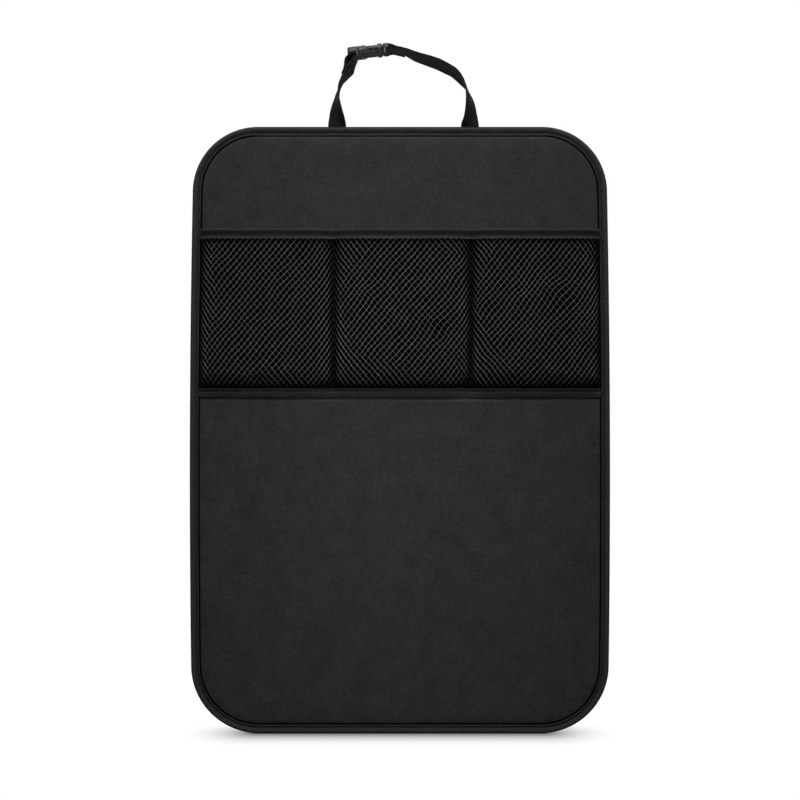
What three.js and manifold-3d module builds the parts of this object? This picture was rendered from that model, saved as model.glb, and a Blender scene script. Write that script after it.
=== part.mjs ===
// Car seat kick mat: a padded cloth mat with three net pockets that hangs on the back of a car seat
// by a buckled strap. Millimetres, +Z up. The front faces -Y and the back lies in the plane y = 0.
// The origin is the middle of the back.

import * as THREE from 'three';
import Module from 'manifold-3d';
import { mergeVertices } from 'three/addons/utils/BufferGeometryUtils.js';

const wasm = await Module();
wasm.setup();

// Outline of the mat
const matWidth = 470;
const matHeight = 678;
const widestZ = -44;
const topNarrowing = 3;
const bottomNarrowing = 1;
const topCornerRadius = 73;
const bottomCornerRadius = 76;

// Cloth, padding and tape
const clothThickness = 0.8;
const foamThickness = 5;
const netThickness = 1.2;
const tapeThickness = 0.9;
const seamGap = 0.3;
const bindingWidth = 11;
const bindingRecess = 0.2;
const bindingFold = 1.3;
const puffWidth = 5.5;
const halfPuff = 0.6;
const valleyShoulder = 4.5;
const valleyPuff = 0.45;

// Pockets
const hemTopZ = 227;
const hemHeight = 11.5;
const hemEndStep = 2;
const tapeTopZ = 46.5;
const tapeHeight = 11;
const pocketSeamLeftX = -73.7;
const pocketSeamRightX = 79;
const pocketSeamWidth = 3;
const pocketDepth = 15;
const mouthDepth = 9;
const bellyHeight = 60;
const netColumns = 4;
const netRows = 4;
const netStrand = 4;
const netDrawIn = 0.15;

// Webbing
const strapWidth = 20;
const strapThickness = 1.2;
const strapSewnLength = 9.5;
const strapLeftX = -70.2;
const strapRightX = 78.3;
const strapSteps = 3;
const foldLength = 18;

// Buckle, measured from its mouth: the socket lies behind it and the head of the plug before it
const buckleMouthX = -19.3;
const buckleMouthY = -3;
const buckleRise = 85.8;
const buckleSlope = 7;
const buckleRoll = 75;
const buckleWidth = 26;
const buckleThickness = 5.6;
const buckleWall = 1.2;
const buckleCorner = 2.5;
const buckleBevel = 0.6;
const buckleClearance = 0.4;
const socketLength = 28.8;
const mouthRingLength = 5.5;
const windowLength = 13;
const windowDepth = 3.6;
const slotLength = 2.4;
const slotSideClearance = 0.8;
const barLength = 2.8;
const barThickness = 2.6;
const plugNeckLength = 2.4;
const guideWidth = 5;
const guideLength = 21;
const prongWidth = 2.2;
const prongLength = 19.5;
const buttonInset = 0.5;

// Levels through the thickness, from the back to the front
const backFace = 0;
const faceRear = backFace - clothThickness - seamGap - foamThickness - seamGap;
const bindingBack = backFace - bindingRecess;
const hemmedBack = bindingBack - tapeThickness - seamGap;
const hemmedFace = hemmedBack - clothThickness - seamGap;
const hemmedNet = hemmedFace - clothThickness - seamGap;
const bindingFront = hemmedNet - netThickness - seamGap - tapeThickness;

const topZ = matHeight / 2;
const bottomZ = -matHeight / 2;
const hemBottomZ = hemTopZ - hemHeight;
const tapeBottomZ = tapeTopZ - tapeHeight;
const netBottomZ = tapeTopZ + valleyShoulder;
const layerInset = bindingFold + seamGap;
const puffInset = bindingWidth + seamGap;
const foamInset = puffInset + puffWidth / 2;
const flatInset = puffInset + puffWidth;

const blackCloth = new THREE.MeshStandardMaterial({ color: 0x2b2b2d, roughness: 0.85, metalness: 0 });
const lining = new THREE.MeshStandardMaterial({ color: 0x121213, roughness: 0.95, metalness: 0 });
const foam = new THREE.MeshStandardMaterial({ color: 0x5a5a5c, roughness: 1, metalness: 0 });
const tapeCloth = new THREE.MeshStandardMaterial({ color: 0x222224, roughness: 0.8, metalness: 0 });
const netCord = new THREE.MeshStandardMaterial({ color: 0x3a3a3c, roughness: 0.6, metalness: 0 });
const webbing = new THREE.MeshStandardMaterial({ color: 0x1a1a1c, roughness: 0.75, metalness: 0 });
const plastic = new THREE.MeshStandardMaterial({ color: 0x2e2e30, roughness: 0.45, metalness: 0 });

const { clamp, lerp, degToRad } = THREE.MathUtils;

// Half the mat's width at a height: widest below the middle, a little narrower at both ends
function halfWidth(z) {
  const above = z > widestZ;
  const share = above ? (z - widestZ) / (topZ - widestZ) : (widestZ - z) / (widestZ - bottomZ);
  return matWidth / 2 - (above ? topNarrowing : bottomNarrowing) * share * share;
}

// The round corners: centre and radius of the right-hand one at the top or the bottom
function corner(atTop) {
  const radius = atTop ? topCornerRadius : bottomCornerRadius;
  const z = atTop ? topZ - radius : bottomZ + radius;
  return { x: halfWidth(z) - radius, z, radius };
}

// How far a point of the mat lies from its edge
function fromEdge(x, z) {
  const side = Math.abs(x);
  const { x: cx, z: cz, radius } = corner(z > 0);
  const beyond = z > 0 ? z > cz : z < cz;
  if (beyond && side > cx) {
    return radius - Math.hypot(side - cx, z - cz);
  }
  return Math.min(halfWidth(z) - side, topZ - z, z - bottomZ);
}

// Heights where a sheet changes its level along the straight sides
const sideHeights = [
  widestZ - bottomCornerRadius,
  widestZ,
  tapeBottomZ - valleyShoulder,
  tapeBottomZ,
  tapeTopZ,
  netBottomZ,
  (netBottomZ + hemBottomZ) / 2,
  hemTopZ,
];

// One ring of points round the mat at an inset from its edge: the right side going up, then the left
function ring(inset) {
  const steps = 8;
  const right = [];
  const arc = ({ x, z, radius }, from) => {
    for (let i = 0; i <= steps; i++) {
      const angle = degToRad(from + 90 * i / steps);
      right.push([x + (radius - inset) * Math.cos(angle), z + (radius - inset) * Math.sin(angle)]);
    }
  };
  arc(corner(false), -90);
  for (const z of sideHeights) {
    right.push([halfWidth(z) - inset, z]);
  }
  arc(corner(true), 0);
  const left = right.map(([x, z]) => [-x, z]).reverse();
  return [...right, ...left];
}

// Makes one closed body of vertices and triangles, with its faces pointing out
function closedBody(vertices, triangles) {
  let volume = 0;
  for (const [a, b, c] of triangles) {
    volume += vertices[a].dot(vertices[b].clone().cross(vertices[c]));
  }
  const facing = volume < 0 ? triangles.map(([a, b, c]) => [a, c, b]) : triangles;
  const positions = vertices.flatMap((v) => [v.x, v.y, v.z]);
  const geometry = new THREE.BufferGeometry();
  geometry.setAttribute('position', new THREE.Float32BufferAttribute(positions, 3));
  geometry.setIndex(facing.flat());
  return geometry;
}

// A flat pattern of points [x, z] and triangles, from which a sheet is made
class Pattern {
  constructor() {
    this.points = [];
    this.triangles = [];
    this.known = new Map();
  }

  point([x, z]) {
    const key = `${x.toFixed(4)} ${z.toFixed(4)}`;
    if (!this.known.has(key)) {
      this.known.set(key, this.points.length);
      this.points.push([x, z]);
    }
    return this.known.get(key);
  }

  triangle(p, q, r) {
    const turn = (q[0] - p[0]) * (r[1] - p[1]) - (q[1] - p[1]) * (r[0] - p[0]);
    const order = turn > 0 ? [p, q, r] : [p, r, q];
    this.triangles.push(order.map((at) => this.point(at)));
  }

  // Quads between rows of points of equal length
  rows(rows) {
    for (let j = 1; j < rows.length; j++) {
      const [below, above] = [rows[j - 1], rows[j]];
      for (let i = 1; i < above.length; i++) {
        this.triangle(below[i - 1], below[i], above[i]);
        this.triangle(below[i - 1], above[i], above[i - 1]);
      }
    }
  }

  // The sheet between two levels, closed along every free edge of the pattern
  sheet(rear, front) {
    const count = this.points.length;
    const at = (level) => this.points.map(([x, z]) => new THREE.Vector3(x, level(x, z), z));
    const edges = new Set(this.triangles.flatMap(([a, b, c]) => [`${a} ${b}`, `${b} ${c}`, `${c} ${a}`]));
    const triangles = [];
    for (const [a, b, c] of this.triangles) {
      triangles.push([a, b, c], [a + count, c + count, b + count]);
      for (const [p, q] of [[a, b], [b, c], [c, a]]) {
        if (!edges.has(`${q} ${p}`)) {
          triangles.push([q, p, p + count], [q, p + count, q + count]);
        }
      }
    }
    return closedBody([...at(front), ...at(rear)], triangles);
  }
}

// Skins rings of equal length into one body. With flatten it has a flat end at each side, and
// without it closes on itself.
function loft(rings, flatten) {
  const count = rings[0].length;
  const triangles = [];
  const spans = flatten ? rings.length - 1 : rings.length;
  for (let r = 0; r < spans; r++) {
    const here = r * count;
    const next = ((r + 1) % rings.length) * count;
    for (let i = 0; i < count; i++) {
      const j = (i + 1) % count;
      triangles.push([here + i, here + j, next + j], [here + i, next + j, next + i]);
    }
  }
  if (flatten) {
    const last = (rings.length - 1) * count;
    const flat = rings[0].map(flatten);
    for (const face of THREE.ShapeUtils.triangulateShape(flat, [])) {
      const turn = THREE.ShapeUtils.area(face.map((i) => flat[i])) * THREE.ShapeUtils.area(flat);
      const [a, b, c] = turn > 0 ? face : [face[0], face[2], face[1]];
      triangles.push([a, c, b], [last + a, last + b, last + c]);
    }
  }
  return closedBody(rings.flat(), triangles);
}

// manifold-3d solids made from three.js geometry, and back
function toSolid(geometry) {
  const bare = geometry.clone();
  bare.deleteAttribute('normal');
  bare.deleteAttribute('uv');
  const merged = mergeVertices(bare, 1e-4);
  const vertProperties = new Float32Array(merged.attributes.position.array);
  const triVerts = new Uint32Array(merged.index.array);
  return new wasm.Manifold(new wasm.Mesh({ numProp: 3, vertProperties, triVerts }));
}

function toGeometry(solid) {
  const mesh = solid.getMesh();
  const geometry = new THREE.BufferGeometry();
  geometry.setAttribute('position', new THREE.BufferAttribute(new Float32Array(mesh.vertProperties), 3));
  geometry.setIndex(new THREE.BufferAttribute(new Uint32Array(mesh.triVerts), 1));
  return geometry;
}

// A box between two corners
function block(low, high) {
  const size = high.map((value, i) => value - low[i]);
  const box = new THREE.BoxGeometry(...size);
  box.translate(...low.map((value, i) => value + size[i] / 2));
  return toSolid(box);
}

function piece(name, geometry, material) {
  const mesh = new THREE.Mesh(geometry, material);
  mesh.name = name;
  return mesh;
}

// How far the padding fills out a cloth: none under the binding, all of it in the middle
function swell(distance) {
  const share = clamp((distance - puffInset) / puffWidth, 0, 1);
  return share < 0.5 ? share * 2 * halfPuff : lerp(halfPuff, 1, share * 2 - 1);
}

// The seam of the pocket tape pinches the padding into a valley across the mat
function valley(z) {
  const away = Math.max(z - tapeTopZ, tapeBottomZ - z, 0);
  return lerp(valleyPuff, 1, Math.min(away / valleyShoulder, 1));
}

const backRearLevel = (x, z) => lerp(hemmedBack, backFace, swell(fromEdge(x, z)));
const backFrontLevel = (x, z) => backRearLevel(x, z) - clothThickness;
const faceRearLevel = (x, z) => lerp(hemmedFace, faceRear, Math.min(swell(fromEdge(x, z)), valley(z)));
const faceFrontLevel = (x, z) => faceRearLevel(x, z) - clothThickness;

// The pattern of a cloth or pad that fills the outline from a list of insets inwards
function wholeMat(insets) {
  const pattern = new Pattern();
  const rings = insets.map(ring);
  pattern.rows(rings.map((points) => [...points, points[0]]));
  const inner = rings[rings.length - 1];
  const across = (i) => [inner[inner.length - 1 - i], inner[i]];
  pattern.rows(Array.from({ length: inner.length / 2 }, (_, i) => across(i)));
  return pattern;
}

function backCloth() {
  const pattern = wholeMat([layerInset, puffInset, foamInset, flatInset]);
  return pattern.sheet(backRearLevel, backFrontLevel);
}

function faceCloth() {
  const pattern = wholeMat([layerInset, puffInset, foamInset, flatInset]);
  return pattern.sheet(faceRearLevel, faceFrontLevel);
}

function foamPad() {
  const pattern = wholeMat([foamInset, flatInset]);
  return pattern.sheet((x, z) => backFrontLevel(x, z) - seamGap, (x, z) => faceRearLevel(x, z) + seamGap);
}

// The tape folded over the whole rim, with a slot where each end of the strap comes out of the top
function edgeBinding() {
  const section = [
    [bindingWidth, bindingFront],
    [bindingFold, bindingFront],
    [0, bindingFront + bindingFold],
    [0, bindingBack - bindingFold],
    [bindingFold, bindingBack],
    [bindingWidth, bindingBack],
    [bindingWidth, bindingBack - tapeThickness],
    [bindingFold, bindingBack - tapeThickness],
    [tapeThickness, bindingBack - bindingFold],
    [tapeThickness, bindingFront + bindingFold],
    [bindingFold, bindingFront + tapeThickness],
    [bindingWidth, bindingFront + tapeThickness],
  ];
  const rings = section.map(([inset, y]) => ring(inset).map(([x, z]) => new THREE.Vector3(x, y, z)));
  const reach = strapWidth / 2 + seamGap;
  let tape = toSolid(loft(rings));
  for (const x of [strapLeftX, strapRightX]) {
    const low = [x - reach, hemmedNet - strapThickness - seamGap, topZ - bindingFold];
    const high = [x + reach, hemmedNet + seamGap, topZ + 1];
    tape = tape.subtract(block(low, high));
  }
  return toGeometry(tape);
}

// The pockets from left to right: where the open net of one starts and ends at a height
function pocketEdges(index, z) {
  const seams = [flatInset - halfWidth(z), pocketSeamLeftX, pocketSeamRightX, halfWidth(z) - flatInset];
  const left = seams[index] + (index > 0 ? pocketSeamWidth / 2 : 0);
  const right = seams[index + 1] - (index < 2 ? pocketSeamWidth / 2 : 0);
  return [left, right];
}

// How far the net stands off the cloth: three rounded pockets, deepest low down and open at the hem
function standOff(x, z) {
  for (const index of [0, 1, 2]) {
    const [left, right] = pocketEdges(index, z);
    if (x > left && x < right && z > netBottomZ) {
      const across = 1 - Math.pow(Math.abs(2 * (x - left) / (right - left) - 1), 5);
      const belly = 1 - Math.pow(1 - Math.min((z - netBottomZ) / bellyHeight, 1), 2);
      const slack = clamp((z - netBottomZ) / (hemBottomZ - netBottomZ), 0, 1);
      return across * belly * lerp(pocketDepth, mouthDepth, slack * slack);
    }
  }
  return 0;
}

// At the hem the net makes room for the rear leaf of the folded tape
function hemLift(x, z) {
  const inside = clamp((halfWidth(z) - Math.abs(x) - puffInset) / hemEndStep, 0, 1);
  const below = clamp((hemBottomZ - z) / hemHeight, 0, 1);
  return (tapeThickness + seamGap) * inside * (1 - below);
}

const netRearLevel = (x, z) => faceFrontLevel(x, z) - seamGap - standOff(x, z) - hemLift(x, z);
const netFrontLevel = (x, z) => netRearLevel(x, z) - netThickness;

// Columns and rows of the net count half meshes, and the columns are drawn in towards the side seams
const lastColumn = 2 * netColumns;
const lastRow = 2 * netRows;
const rowHeight = (row) => lerp(netBottomZ, hemBottomZ, row / lastRow);

function columnX(index, column, z) {
  const [left, right] = pocketEdges(index, z);
  const share = 2 * column / lastColumn - 1;
  const drawn = share * (1 + netDrawIn * (1 - share * share));
  return lerp(left, right, (drawn + 1) / 2);
}

// Net round one opening, with strands of equal width. corners are the three or four corners of the
// opening's mesh, and outline may have one more point on a side.
function netMesh(pattern, corners, outline) {
  const next = (i, step) => corners[(i + step) % corners.length];
  const opposite = corners.map((_, i) => Math.hypot(...[0, 1].map((k) => next(i, 1)[k] - next(i, 2)[k])));
  const weights = corners.length === 3 ? opposite : corners.map(() => 1);
  const total = weights.reduce((sum, weight) => sum + weight, 0);
  const centre = [0, 1].map((k) => corners.reduce((sum, p, i) => sum + p[k] * weights[i], 0) / total);
  const distances = corners.map((p, i) => {
    const [dx, dz] = [next(i, 1)[0] - p[0], next(i, 1)[1] - p[1]];
    return Math.abs(dx * (centre[1] - p[1]) - dz * (centre[0] - p[0])) / Math.hypot(dx, dz);
  });
  const share = netStrand / 2 / Math.min(...distances);
  const opening = outline.map(([x, z]) => [lerp(x, centre[0], share), lerp(z, centre[1], share)]);
  pattern.rows([[...outline, outline[0]], [...opening, opening[0]]]);
}

// The diamonds of one pocket, with half diamonds along its edges
function pocketMeshes(pattern, index) {
  const at = (column, row) => [columnX(index, column, rowHeight(row)), rowHeight(row)];
  const within = ([i, j]) => i >= 0 && i <= lastColumn && j >= 0 && j <= lastRow;
  for (let column = 0; column <= lastColumn; column++) {
    for (let row = column % 2; row <= lastRow; row += 2) {
      const middle = at(column, row);
      const around = [[1, 0], [0, 1], [-1, 0], [0, -1]].map(([i, j]) => [column + i, row + j]);
      const corners = around.filter(within).map(([i, j]) => at(i, j));
      if (corners.length === 2) {
        pattern.triangle(middle, ...corners);
      } else {
        netMesh(pattern, corners, around.map((p) => (within(p) ? at(...p) : middle)));
      }
    }
  }
}

// The points that cross the whole strip at a height: the side margins and every column
const sideInsets = [layerInset, puffInset, puffInset + hemEndStep, foamInset];

function acrossStrip(z) {
  const columns = Array.from({ length: lastColumn + 1 }, (_, column) => column);
  const pockets = [0, 1, 2].flatMap((index) => columns.map((column) => columnX(index, column, z)));
  const sides = sideInsets.map((inset) => halfWidth(z) - inset);
  return [...sides.map((x) => -x), ...pockets, ...sides.reverse()].map((x) => [x, z]);
}

function pocketNet() {
  const pattern = new Pattern();
  const heights = Array.from({ length: lastRow + 1 }, (_, row) => rowHeight(row));
  const edge = (index, side) => heights.map((z) => [pocketEdges(index, z)[side], z]);
  const margin = (sign) => sideInsets.map((inset) => heights.map((z) => [sign * (halfWidth(z) - inset), z]));
  // From the top down, the lower margin bends along the same lines as the cloth under it
  pattern.rows([netBottomZ, tapeTopZ, tapeBottomZ + seamGap].map(acrossStrip));
  pattern.rows([hemBottomZ, hemTopZ - tapeThickness - seamGap].map(acrossStrip));
  pattern.rows([...margin(-1), edge(0, 0)]);
  pattern.rows([edge(0, 1), edge(1, 0)]);
  pattern.rows([edge(1, 1), edge(2, 0)]);
  pattern.rows([...margin(1), edge(2, 1)]);
  for (const index of [0, 1, 2]) {
    pocketMeshes(pattern, index);
  }
  return pattern.sheet(netRearLevel, netFrontLevel);
}

// The tape folded over the top edge of the net, which stands open between the side seams
function pocketHem() {
  const stations = acrossStrip(hemBottomZ).slice(2, -2).map(([x]) => x);
  const rings = stations.map((x) => {
    const rear = netRearLevel(x, hemBottomZ) + seamGap;
    const front = netFrontLevel(x, hemBottomZ) - seamGap;
    const section = [
      [rear, hemBottomZ],
      [rear + tapeThickness, hemBottomZ],
      [rear + tapeThickness, hemTopZ - tapeThickness],
      [rear, hemTopZ],
      [front, hemTopZ],
      [front - tapeThickness, hemTopZ - tapeThickness],
      [front - tapeThickness, hemBottomZ],
      [front, hemBottomZ],
      [front, hemTopZ - tapeThickness],
      [rear, hemTopZ - tapeThickness],
    ];
    return section.map(([y, z]) => new THREE.Vector3(x, y, z));
  });
  return loft(rings, (v) => new THREE.Vector2(v.y, v.z));
}

// The tape sewn over the lower edge of the net
function pocketTape() {
  const pattern = new Pattern();
  pattern.rows([tapeBottomZ, tapeTopZ].map((z) => acrossStrip(z).slice(1, -1)));
  const under = (x, z) => netFrontLevel(x, z) - seamGap;
  return pattern.sheet(under, (x, z) => under(x, z) - tapeThickness);
}

// The buckle's own directions: along it, across it and through its thickness towards the mat
const slope = degToRad(buckleSlope);
const roll = degToRad(buckleRoll);
const along = new THREE.Vector3(Math.cos(slope), 0, Math.sin(slope));
const across = new THREE.Vector3(0, -Math.sin(roll), Math.cos(roll)).projectOnPlane(along).normalize();
const through = along.clone().cross(across);
const buckleMouth = new THREE.Vector3(buckleMouthX, buckleMouthY, topZ + buckleRise);

// A length of webbing along a curve. Each point has the direction of the webbing's width there.
function ribbon(points) {
  const curve = new THREE.CatmullRomCurve3(points.map(({ at }) => at), false, 'centripetal');
  const count = (points.length - 1) * strapSteps;
  const rings = Array.from({ length: count + 1 }, (_, i) => {
    const k = Math.min(Math.floor(i / strapSteps), points.length - 2);
    const centre = curve.getPoint(i / count);
    const tangent = curve.getTangent(i / count);
    const width = points[k].width.clone().lerp(points[k + 1].width, i / strapSteps - k);
    width.projectOnPlane(tangent).setLength(strapWidth / 2);
    const normal = tangent.clone().cross(width).setLength(strapThickness / 2);
    return [[1, 1], [1, -1], [-1, -1], [-1, 1]].map(([w, n]) => {
      return centre.clone().addScaledVector(width, w).addScaledVector(normal, n);
    });
  });
  const [first] = points;
  return loft(rings, (v) => new THREE.Vector2(v.dot(first.width), v.y));
}

// A point of the free strap: its place above the top edge, how far the webbing has turned from lying
// flat to the mat, and the direction that leads out of the loop there, both in degrees
function strapPoint(x, y, rise, turn, outward) {
  const [turned, facing] = [degToRad(turn), degToRad(outward)];
  const width = new THREE.Vector3(Math.cos(facing), 0, Math.sin(facing)).multiplyScalar(-Math.cos(turned));
  width.y = -Math.sin(turned);
  return { at: new THREE.Vector3(x, y, topZ + rise), width };
}

// A point of the strap in the buckle's own directions: how far along it and through it
function buckled(a, n) {
  const at = buckleMouth.clone().addScaledVector(along, a).addScaledVector(through, n);
  return { at, width: across.clone() };
}

// The points of the strap round a bar of the buckle, as shares of its clearances along and through
const aroundBar = [
  [1, 0.62], [1, -0.62], [0.7, -1], [0, -1], [-0.7, -0.98], [-1, -0.64],
  [-1, 0.64], [-0.7, 0.98], [0, 1], [0.7, 1],
];
const barSide = barLength / 2 + seamGap + strapThickness / 2;
const barFace = barThickness / 2 + seamGap + strapThickness / 2;

function wrapBar(middle, from, to) {
  return aroundBar.slice(from, to).map(([a, n]) => buckled(middle + a * barSide, n * barFace));
}

const strapLevel = hemmedNet - strapThickness / 2;
const ladderBar = -socketLength - slotLength - barLength / 2;
const plugBar = plugNeckLength + slotLength + barLength / 2;

// The left end: up from the mat, up through the inner slot, over the bar and down through the outer one
function strapLeft() {
  return ribbon([
    strapPoint(strapLeftX, strapLevel, -strapSewnLength, 0, 180),
    strapPoint(strapLeftX, strapLevel, 1.5, 0, 180),
    strapPoint(strapLeftX - 0.2, strapLevel - 1.2, 9, 27, 179),
    strapPoint(strapLeftX - 0.4, strapLevel - 3.2, 19, 49, 178),
    strapPoint(strapLeftX + 0.6, strapLevel - 5.2, 30, 71, 172),
    strapPoint(-66.8, strapLevel - 6.6, 42.5, 90, 155),
    strapPoint(-62.2, strapLevel - 7.4, 53.5, 103, 150),
    strapPoint(-56.6, strapLevel - 6.4, 63.3, 111, 146),
    buckled(ladderBar - 0.9, 9.3),
    buckled(ladderBar + 1.8, 4),
    ...wrapBar(ladderBar, 0, 7),
    buckled(ladderBar - 3.4, 4.2),
    buckled(ladderBar - 7.2, 9.5),
    strapPoint(-59.5, strapLevel - 5.4, 63, 110, 148),
    strapPoint(-63.2, strapLevel - 6.4, 55.5, 104, 150),
  ]);
}

// The right end: up from the mat, round the bar of the plug and back on itself, where it is sewn
function strapRight() {
  const doubled = [buckled(plugBar + foldLength, 5.1), buckled(plugBar + 9, 1.4), buckled(plugBar + 5, -1)];
  const layer = strapThickness + 2 * seamGap;
  const returned = doubled.slice(0, 2).reverse();
  return ribbon([
    strapPoint(strapRightX, strapLevel, -strapSewnLength, 0, 0),
    strapPoint(strapRightX, strapLevel, 1.5, 0, 0),
    strapPoint(strapRightX + 0.4, strapLevel - 0.9, 7.5, 30, 0),
    strapPoint(strapRightX + 0.5, strapLevel - 2.4, 14, 46, 0),
    strapPoint(strapRightX, strapLevel - 5, 24.6, 59, 4),
    strapPoint(76.2, strapLevel - 7.2, 35.8, 76, 12),
    strapPoint(73.6, strapLevel - 8.2, 43.7, 91, 24),
    strapPoint(70.6, strapLevel - 8.6, 49.8, 102, 34),
    strapPoint(66.6, strapLevel - 8.4, 55.7, 110, 42),
    strapPoint(61, strapLevel - 8, 61.3, 114, 52),
    strapPoint(53.2, strapLevel - 7.2, 65.7, 117, 62),
    strapPoint(43.7, strapLevel - 6.2, 70, 119, 69),
    strapPoint(34.2, strapLevel - 5.2, 72.8, 118, 73),
    strapPoint(17.9, strapLevel - 3.2, 78.1, 112, 73),
    ...doubled,
    ...wrapBar(plugBar, 2, 10),
    buckled(plugBar + 5, 2.2),
    ...returned.map(({ at, width }) => ({ at: at.clone().addScaledVector(through, layer), width })),
  ]);
}

// A plate with round corners and softened edges, in the buckle's own directions
function plate(from, to, width, thickness) {
  const [low, high] = [from + buckleBevel, to - buckleBevel];
  const reach = width / 2 - buckleBevel;
  const depth = thickness - 2 * buckleBevel;
  const radius = Math.min(buckleCorner, (high - low) / 2.2);
  const corners = [[high, 1], [low, 1], [low, -1], [high, -1]];
  const shape = new THREE.Shape();
  corners.forEach(([end, side], quarter) => {
    const x = end === high ? high - radius : low + radius;
    const start = quarter * Math.PI / 2;
    shape.absarc(x, side * (reach - radius), radius, start, start + Math.PI / 2);
  });
  const bevel = { bevelThickness: buckleBevel, bevelSize: buckleBevel, bevelSegments: 2 };
  const geometry = new THREE.ExtrudeGeometry(shape, { depth, curveSegments: 4, ...bevel });
  geometry.translate(0, 0, -depth / 2);
  return toSolid(geometry);
}

const middleBlock = (from, to, w, n) => block([from, -w, -n], [to, w, n]);
const slotReach = strapWidth / 2 + slotSideClearance;
const cavityReach = buckleWidth / 2 - buckleWall;
const cavityHalf = buckleThickness / 2 - buckleWall;
const windowEnd = -mouthRingLength - windowLength;

// Cuts the slots for the webbing, given by where each starts, and thins the bars at both faces
// between two places along the buckle
function cutSlots(solid, starts, from, to) {
  let cut = solid;
  for (const start of starts) {
    cut = cut.subtract(middleBlock(start, start + slotLength, slotReach, buckleThickness));
  }
  for (const side of [-1, 1]) {
    const depth = [side * barThickness / 2, side * buckleThickness].sort((p, q) => p - q);
    cut = cut.subtract(block([from, -slotReach, depth[0]], [to, slotReach, depth[1]]));
  }
  return cut;
}

// The socket: a flat shell open at its mouth, with a window at each side for the plug's buttons,
// and behind it two bars for the adjustable end of the webbing
function buckleSocket() {
  const ladderEnd = ladderBar - barLength / 2 - slotLength - barLength;
  const shell = plate(-socketLength, 0, buckleWidth, buckleThickness);
  const ladder = plate(ladderEnd, buckleCorner - socketLength, buckleWidth, buckleThickness);
  let socket = shell.add(ladder);
  socket = socket.subtract(middleBlock(buckleWall - socketLength, 1, cavityReach, cavityHalf));
  for (const side of [-1, 1]) {
    const reach = [side * (buckleWidth / 2 - windowDepth), side * buckleWidth].sort((p, q) => p - q);
    const low = [windowEnd, reach[0], -buckleThickness];
    const high = [-mouthRingLength, reach[1], buckleThickness];
    socket = socket.subtract(block(low, high));
  }
  const slots = [-socketLength - slotLength, ladderBar - barLength / 2 - slotLength];
  return toGeometry(cutSlots(socket, slots, ladderEnd - 1, -socketLength));
}

// The plug: a head with a bar for the sewn end of the webbing, a guide, and two springy prongs whose
// buttons fill the socket's windows
function bucklePlug() {
  const headEnd = plugBar + barLength / 2;
  const reach = cavityReach - buckleClearance;
  const half = cavityHalf - buckleClearance;
  const root = -mouthRingLength / 2;
  let plug = plate(seamGap, headEnd, buckleWidth, buckleThickness - buckleBevel);
  plug = cutSlots(plug, [plugNeckLength], plugNeckLength, headEnd + 1);
  plug = plug.add(middleBlock(-guideLength, plugNeckLength, guideWidth / 2, half));
  plug = plug.add(middleBlock(root, plugNeckLength, reach, half));
  const catchFace = -mouthRingLength - buckleClearance;
  const button = buckleWidth / 2 - buttonInset;
  const outline = [
    [root + 1, reach],
    [catchFace, reach],
    [catchFace, button],
    [catchFace - windowLength / 2, button],
    [windowEnd + buckleClearance, reach],
    [-prongLength, reach - prongWidth],
    [-prongLength, reach - 2 * prongWidth],
    [-mouthRingLength, reach - prongWidth],
    [root + 1, reach - prongWidth],
  ];
  for (const side of [-1, 1]) {
    const shape = new THREE.Shape(outline.map(([a, w]) => new THREE.Vector2(a, side * w)));
    const prong = new THREE.ExtrudeGeometry(shape, { depth: 2 * half, bevelEnabled: false });
    prong.translate(0, 0, -half);
    plug = plug.add(toSolid(prong));
  }
  return toGeometry(plug);
}

function buckle() {
  const group = new THREE.Group();
  group.add(piece('buckle_socket', buckleSocket(), plastic));
  group.add(piece('buckle_plug', bucklePlug(), plastic));
  group.position.copy(buckleMouth);
  group.quaternion.setFromRotationMatrix(new THREE.Matrix4().makeBasis(along, across, through));
  return group;
}

const kickMat = new THREE.Group();
kickMat.add(piece('back_cloth', backCloth(), lining));
kickMat.add(piece('foam_pad', foamPad(), foam));
kickMat.add(piece('face_cloth', faceCloth(), blackCloth));
kickMat.add(piece('edge_binding', edgeBinding(), tapeCloth));
kickMat.add(piece('pocket_net', pocketNet(), netCord));
kickMat.add(piece('pocket_hem', pocketHem(), tapeCloth));
kickMat.add(piece('pocket_tape', pocketTape(), tapeCloth));
kickMat.add(piece('strap_left', strapLeft(), webbing));
kickMat.add(piece('strap_right', strapRight(), webbing));
kickMat.add(buckle());

export default kickMat;
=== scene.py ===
import bpy
import math
import numpy as np
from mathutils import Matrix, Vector


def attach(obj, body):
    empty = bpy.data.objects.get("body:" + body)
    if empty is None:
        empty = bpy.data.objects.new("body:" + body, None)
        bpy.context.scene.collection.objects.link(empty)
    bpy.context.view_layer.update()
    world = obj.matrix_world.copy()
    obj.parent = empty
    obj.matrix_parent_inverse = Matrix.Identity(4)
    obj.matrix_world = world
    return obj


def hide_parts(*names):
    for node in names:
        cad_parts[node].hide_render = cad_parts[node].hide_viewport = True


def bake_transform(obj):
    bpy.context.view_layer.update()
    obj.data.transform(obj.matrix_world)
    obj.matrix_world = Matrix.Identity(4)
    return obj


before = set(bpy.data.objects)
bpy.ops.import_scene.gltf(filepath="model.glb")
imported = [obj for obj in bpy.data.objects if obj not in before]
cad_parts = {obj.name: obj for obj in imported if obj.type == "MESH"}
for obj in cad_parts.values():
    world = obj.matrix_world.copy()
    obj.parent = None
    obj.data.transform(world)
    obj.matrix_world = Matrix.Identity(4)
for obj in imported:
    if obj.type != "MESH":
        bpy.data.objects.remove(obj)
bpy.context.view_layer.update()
mm = 0.001
print("frame loaded:", sorted(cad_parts))

# Lengths are in millimetres until a mesh is made. x runs along the mat, z up, and the front faces -y.


# camera, light and floor

camera = {"lens": 85, "frameWidth": 894.6, "x": 0.1, "z": 33.6, "planeY": -3.3}


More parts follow.
